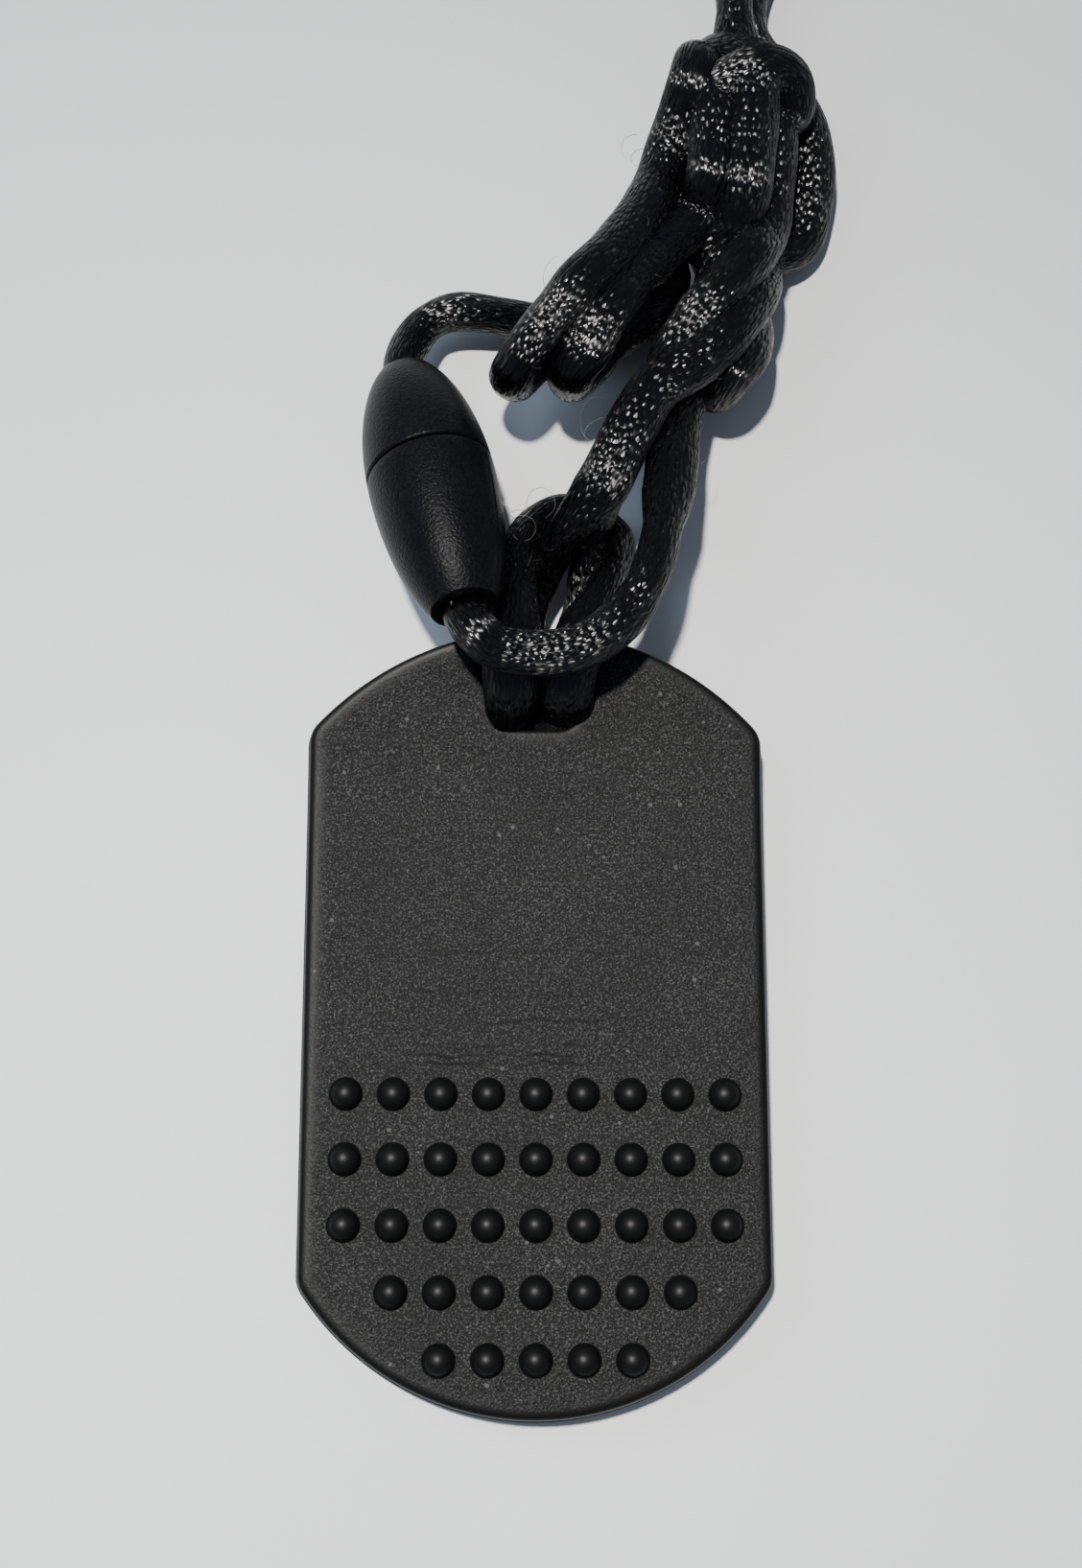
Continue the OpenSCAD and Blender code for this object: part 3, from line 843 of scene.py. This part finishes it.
def flat_sheet(outer, hole, spacing):
    """A triangulated flat region between two outlines. The outlines' points come first, in order."""
    low, high = outer.min(0), outer.max(0)
    rows = []
    for k, y in enumerate(np.arange(low[1], high[1], spacing * 0.87)):
        xs = np.arange(low[0] + (spacing / 2 if k % 2 else 0), high[0], spacing)
        rows += [(x, y) for x in xs]
    grid = np.array(rows)
    grid = grid[inside(grid, outer) & ~inside(grid, hole)]
    edge = np.vstack([outer, hole])
    clear = np.min(np.linalg.norm(grid[:, None] - edge[None], axis=2), axis=1) > 0.6 * spacing
    points = np.vstack([edge, grid[clear]])
    n, m = len(outer), len(hole)
    edges = [(i, (i + 1) % n) for i in range(n)] + [(n + i, n + (i + 1) % m) for i in range(m)]
    _, _, faces, origin, _, _ = delaunay_2d_cdt([Vector(p) for p in points], edges, [], 0, 1e-7)
    new = [o[0] if o else -1 for o in origin]
    faces = np.array([[new[i] for i in f] for f in faces])
    middles = points[faces].mean(1)
    keep = inside(middles, outer) & ~inside(middles, hole)
    return points, [tuple(int(i) for i in f) for f in faces[keep]]


def curled(points):
    """The flat tag's points, with its top end bent up as on the real one."""
    out = np.array(points, float)
    y = np.maximum(0, out[:, 1] - CURL_START)
    bent = CURL_RADIUS - np.sqrt((CURL_RADIUS - out[:, 2]) ** 2 - y**2)
    out[:, 2] = np.where(y > 0, bent, out[:, 2])
    return out


def tag_body():
    """The tag's slab: points, faces, pebble (1 on its two faces) and rib (1 on the parting line)."""
    top, middle = TAG_THICKNESS, TAG_THICKNESS / 2
    edge = [
        (1.05, top), (0.8, top - 0.012), (0.58, top - 0.06), (0.4, top - 0.15), (0.28, top - 0.3),
        (0.21, top - 0.52), (RIB_OUT, top - 0.8), (RIB_OUT, middle + 0.26), (0.13, middle + 0.2),
        (0.01, middle + 0.13), (0, middle),
        (0.01, middle - 0.13), (0.13, middle - 0.2), (RIB_OUT, middle - 0.26), (RIB_OUT, 0.8), (0.26, 0.4),
        (0.42, 0.14), (0.7, 0.02), (1.0, 0),
    ]
    hole_edge = [(0.42, top), (0.26, top - 0.03), (0.12, top - 0.12), (0.03, top - 0.28), (0, top - 0.6)]
    hole_edge += [(0, 0.6), (0.06, 0.2), (0.3, 0)]
    hole = eyelet_outline()
    parts, pebble, rib = [], [], []

    def sheet(inset, growth, height, flip, value):
        outline = tag_outline(inset)
        points, faces = flat_sheet(outline, grown(hole, growth), 0.8)
        border = len(outline) + len(hole)
        solid = np.column_stack([points, np.full(len(points), height)])
        parts.append((solid, [f[::-1] for f in faces] if flip else faces))
        pebble.extend([0.35 * value] * border + [value] * (len(points) - border))
        rib.extend([0.0] * len(points))

    def wall(outlines, heights, flip):
        rows = [np.column_stack([o, np.full(len(o), h)]) for o, h in zip(outlines, heights)]
        faces = loops_to_faces(len(rows), len(rows[0]))
        parts.append((np.vstack(rows), [f[::-1] for f in faces] if flip else faces))
        for k, height in enumerate(heights):
            pebble.extend([(0.35, 0.1, 0.0)[min(k, 2)]] * len(rows[0]))
            rib.extend([float(abs(height - middle) < 0.15)] * len(rows[0]))

    sheet(edge[0][0], hole_edge[0][0], top, False, 1.0)
    sheet(edge[-1][0], hole_edge[-1][0], 0.0, True, 1.0)
    wall([tag_outline(e) for e, _ in edge], [h for _, h in edge], True)
    wall([grown(hole, g) for g, _ in hole_edge], [h for _, h in hole_edge], False)
    points, faces = joined(parts)
    return curled(points), faces, pebble, rib


def dome_at(x, y):
    """One dome with a small fillet at its foot, a little sunk in the face so that none of it hangs clear."""
    base = TAG_THICKNESS
    profile = [
        (DOME_RADIUS + 0.17, base - 0.02), (DOME_RADIUS + 0.07, base + 0.015),
        (DOME_RADIUS + 0.01, base + 0.08),
    ]
    profile += [
        (DOME_RADIUS * math.cos(a), base + 0.1 + (DOME_HEIGHT - 0.1) * math.sin(a))
        for a in np.radians(np.linspace(4, 82, 11))
    ]
    sides = 40
    angles = np.linspace(0, 2 * math.pi, sides, endpoint=False)
    points = [(x + r * math.cos(a), y + r * math.sin(a), z) for r, z in profile for a in angles]
    points.append((x, y, base + DOME_HEIGHT))
    faces = loops_to_faces(len(profile), sides)
    last = (len(profile) - 1) * sides
    faces += [(last + c, last + (c + 1) % sides, len(points) - 1) for c in range(sides)]
    return points, faces


def make_tag(made_of):
    points, faces, pebble, rib = tag_body()
    domes = []
    for row, count in enumerate(DOME_COUNTS):
        y = DOME_TOP_ROW - row * DOME_PITCH[1]
        domes += [dome_at((i - (count - 1) / 2) * DOME_PITCH[0], y) for i in range(count)]
    points, faces = joined([(points, faces), *domes])
    on_domes = [0.0] * (len(points) - len(pebble))
    tag = add_mesh("tag_moulding", points, faces, made_of)
    point_attribute(tag, "pebble", "FLOAT", pebble + on_domes)
    point_attribute(tag, "rib", "FLOAT", rib + on_domes)
    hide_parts("tag")
    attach(tag, "pendant")
    merge_by_distance(tag)


def merge_by_distance(obj):
    """Welds the seams between the sheets and walls that make one skin."""
    mesh = bmesh.new()
    mesh.from_mesh(obj.data)
    bmesh.ops.remove_doubles(mesh, verts=mesh.verts, dist=1e-7)
    bmesh.ops.recalc_face_normals(mesh, faces=mesh.faces)
    mesh.to_mesh(obj.data)
    mesh.free()


make_tag(tag_material())

# ---------------------------------------------------------------- paper band round the stored cord


def make_tie(made_of):
    """A band with rounded corners and open ends, round the stored cord."""
    low, high = (np.array(c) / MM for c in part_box("hank_tie"))
    left, right = low[0] + TIE_INSET + TIE_CORNER, high[0] - TIE_INSET - TIE_CORNER
    bottom, top = low[2] + TABLE_GAP + TIE_CORNER, high[2] - TIE_CORNER
    corners = ((right, top, 0), (left, top, 90), (left, bottom, 180), (right, bottom, 270))

    def skin(radius):
        """The band's outside or inside, as rings along y whose corners have that radius."""
        return [
            (x + radius * math.cos(a), y, z + radius * math.sin(a))
            for y in np.linspace(low[1], high[1], TIE_ROWS)
            for x, z, start in corners
            for a in np.radians(start + np.linspace(0, 90, 9))
        ]

    outer, inner = skin(TIE_CORNER), skin(TIE_CORNER - TIE_THICKNESS)
    columns = len(outer) // TIE_ROWS
    faces = loops_to_faces(TIE_ROWS, columns)
    faces += [f[::-1] for f in loops_to_faces(TIE_ROWS, columns, start=len(outer))]
    for k, flip in ((0, True), (TIE_ROWS - 1, False)):
        for c in range(columns):
            a, b = k * columns + c, k * columns + (c + 1) % columns
            face = (a, b, b + len(outer), a + len(outer))
            faces.append(face[::-1] if flip else face)
    tie = add_mesh("paper_band", outer + inner, faces, made_of)
    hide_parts("hank_tie")
    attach(tie, "pendant")


make_tie(tie_material())

# ---------------------------------------------------------------- stray fibres

FUZZ_COUNT = 700
FUZZ_FIRST = 20  # the first point of the cord's line that is clear of the clasp
FUZZ_LAST_Y = 90
FIBRE_STEP = 0.25
LONG_FIBRES = (  # the longer ones that stand out of the hitch and the lobes: start, heading and length
    ((-1.4, 40.4, 3.4), (-0.9, 0.5, 0.2), 8.0), ((-0.6, 41.4, 3.0), (-0.6, 0.9, 0.3), 7.0),
    ((-2.2, 38.8, 4.8), (-0.7, 0.8, 0.3), 6.6), ((-0.4, 41.6, 2.6), (-1, 0.2, 0.1), 3.6),
    ((3.2, 43.4, 2.0), (-0.2, 1, 0.2), 3.2), ((-2.4, 39.4, 3.4), (-0.8, 0.9, 0.1), 4.2),
    ((4.2, 45.4, 8.4), (-1, 0.6, 0), 5.5), ((5.4, 47.6, 8.2), (-1, -0.1, 0), 4.0),
    ((9.0, 72.6, 6.6), (-1, 0.3, 0), 4.6), ((8.4, 73.6, 7.2), (-1, 0.1, 0), 3.2),
    ((0.6, 57.0, 11.4), (-0.7, 0.9, 0.1), 3.4), ((-3.4, 52.4, 8.4), (-1, -0.4, 0), 2.6),
    ((13.0, 44.0, 7.0), (1, 0.4, 0), 2.4),
)


def hair(start, heading, length, curl, rng, thick):
    """One stray fibre: a thin, wandering, three-sided thread."""
    steps = max(6, int(length / FIBRE_STEP))
    point, way = np.array(start, float), unit(np.array(heading, float))
    line = [point.copy()]
    turn = np.array([0.0, 0.0, rng.uniform(-curl, curl)])
    for _ in range(steps):
        wander = np.array([rng.gauss(0, 0.08), rng.gauss(0, 0.08), rng.gauss(0, 0.05)])
        way = unit(way + np.cross(turn, way) + wander)
        point = point + way * length / steps
        point[2] = max(point[2], 0.05)
        line.append(point.copy())
    line = np.array(line)
    along, side = carried_sides(line)
    other = np.cross(along, side)
    rings = []
    for i in range(len(line)):
        r = thick * (1 - 0.6 * i / len(line))
        rings += [line[i] + r * (math.cos(a) * side[i] + math.sin(a) * other[i]) for a in (0, 2.094, 4.189)]
    return rings, loops_to_faces(len(line), 3)


def make_fuzz():
    """The fibres on the cord that rides the pendant. The stretch that gives as the clasp opens has none."""
    rng = random.Random(41)
    along, side = carried_sides(cord_line)
    other = np.cross(along, side)
    seen = [i for i in range(FUZZ_FIRST, cord_split) if cord_line[i][1] < FUZZ_LAST_Y]
    parts = []
    for _ in range(FUZZ_COUNT):
        i = rng.choice(seen)
        a = rng.uniform(0, 2 * math.pi)
        out = math.cos(a) * side[i] + math.sin(a) * other[i]
        start = cord_line[i] + (CORD_RADIUS - 0.05) * out
        if start[2] > 0.4:
            heading = out * 0.5 + along[i] * rng.uniform(-1, 1)
            parts.append(hair(start, heading, rng.uniform(0.4, 1.5), 0.4, rng, 0.01))
    for near, heading, length in LONG_FIBRES:
        parts.append(hair(near, heading, length, 0.28, rng, 0.03))
    points, faces = joined(parts)
    fuzz = add_mesh("stray_fibres", points, faces, fibre_material())
    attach(fuzz, "pendant")


def fibre_material():
    made, shader = material("loose_fibre", Specular_IOR_Level=0.5)
    tree = made.node_tree
    place = node(tree, "TexCoord").outputs["Object"]
    tone = node(tree, "TexNoise", Vector=place, Scale=900.0, Detail=1.0)
    tree.links.new(tint(tree, tone.outputs[0], (0.02, 0.02, 0.022), (0.2, 0.2, 0.21)), shader.inputs[0])
    tree.links.new(ramp(tree, tone.outputs[0], 0.3, 0.7, 0.3, 0.5), shader.inputs["Roughness"])
    return made


make_fuzz()

# ---------------------------------------------------------------- floor, light and the end


def make_floor():
    half = FLOOR_HALF_WIDTH
    corners = [(x, y, -TABLE_GAP) for x, y in ((-half, -half), (half, -half), (half, half), (-half, half))]
    add_mesh("floor", corners, [(0, 1, 2, 3)], floor_material())


make_floor()
make_light()
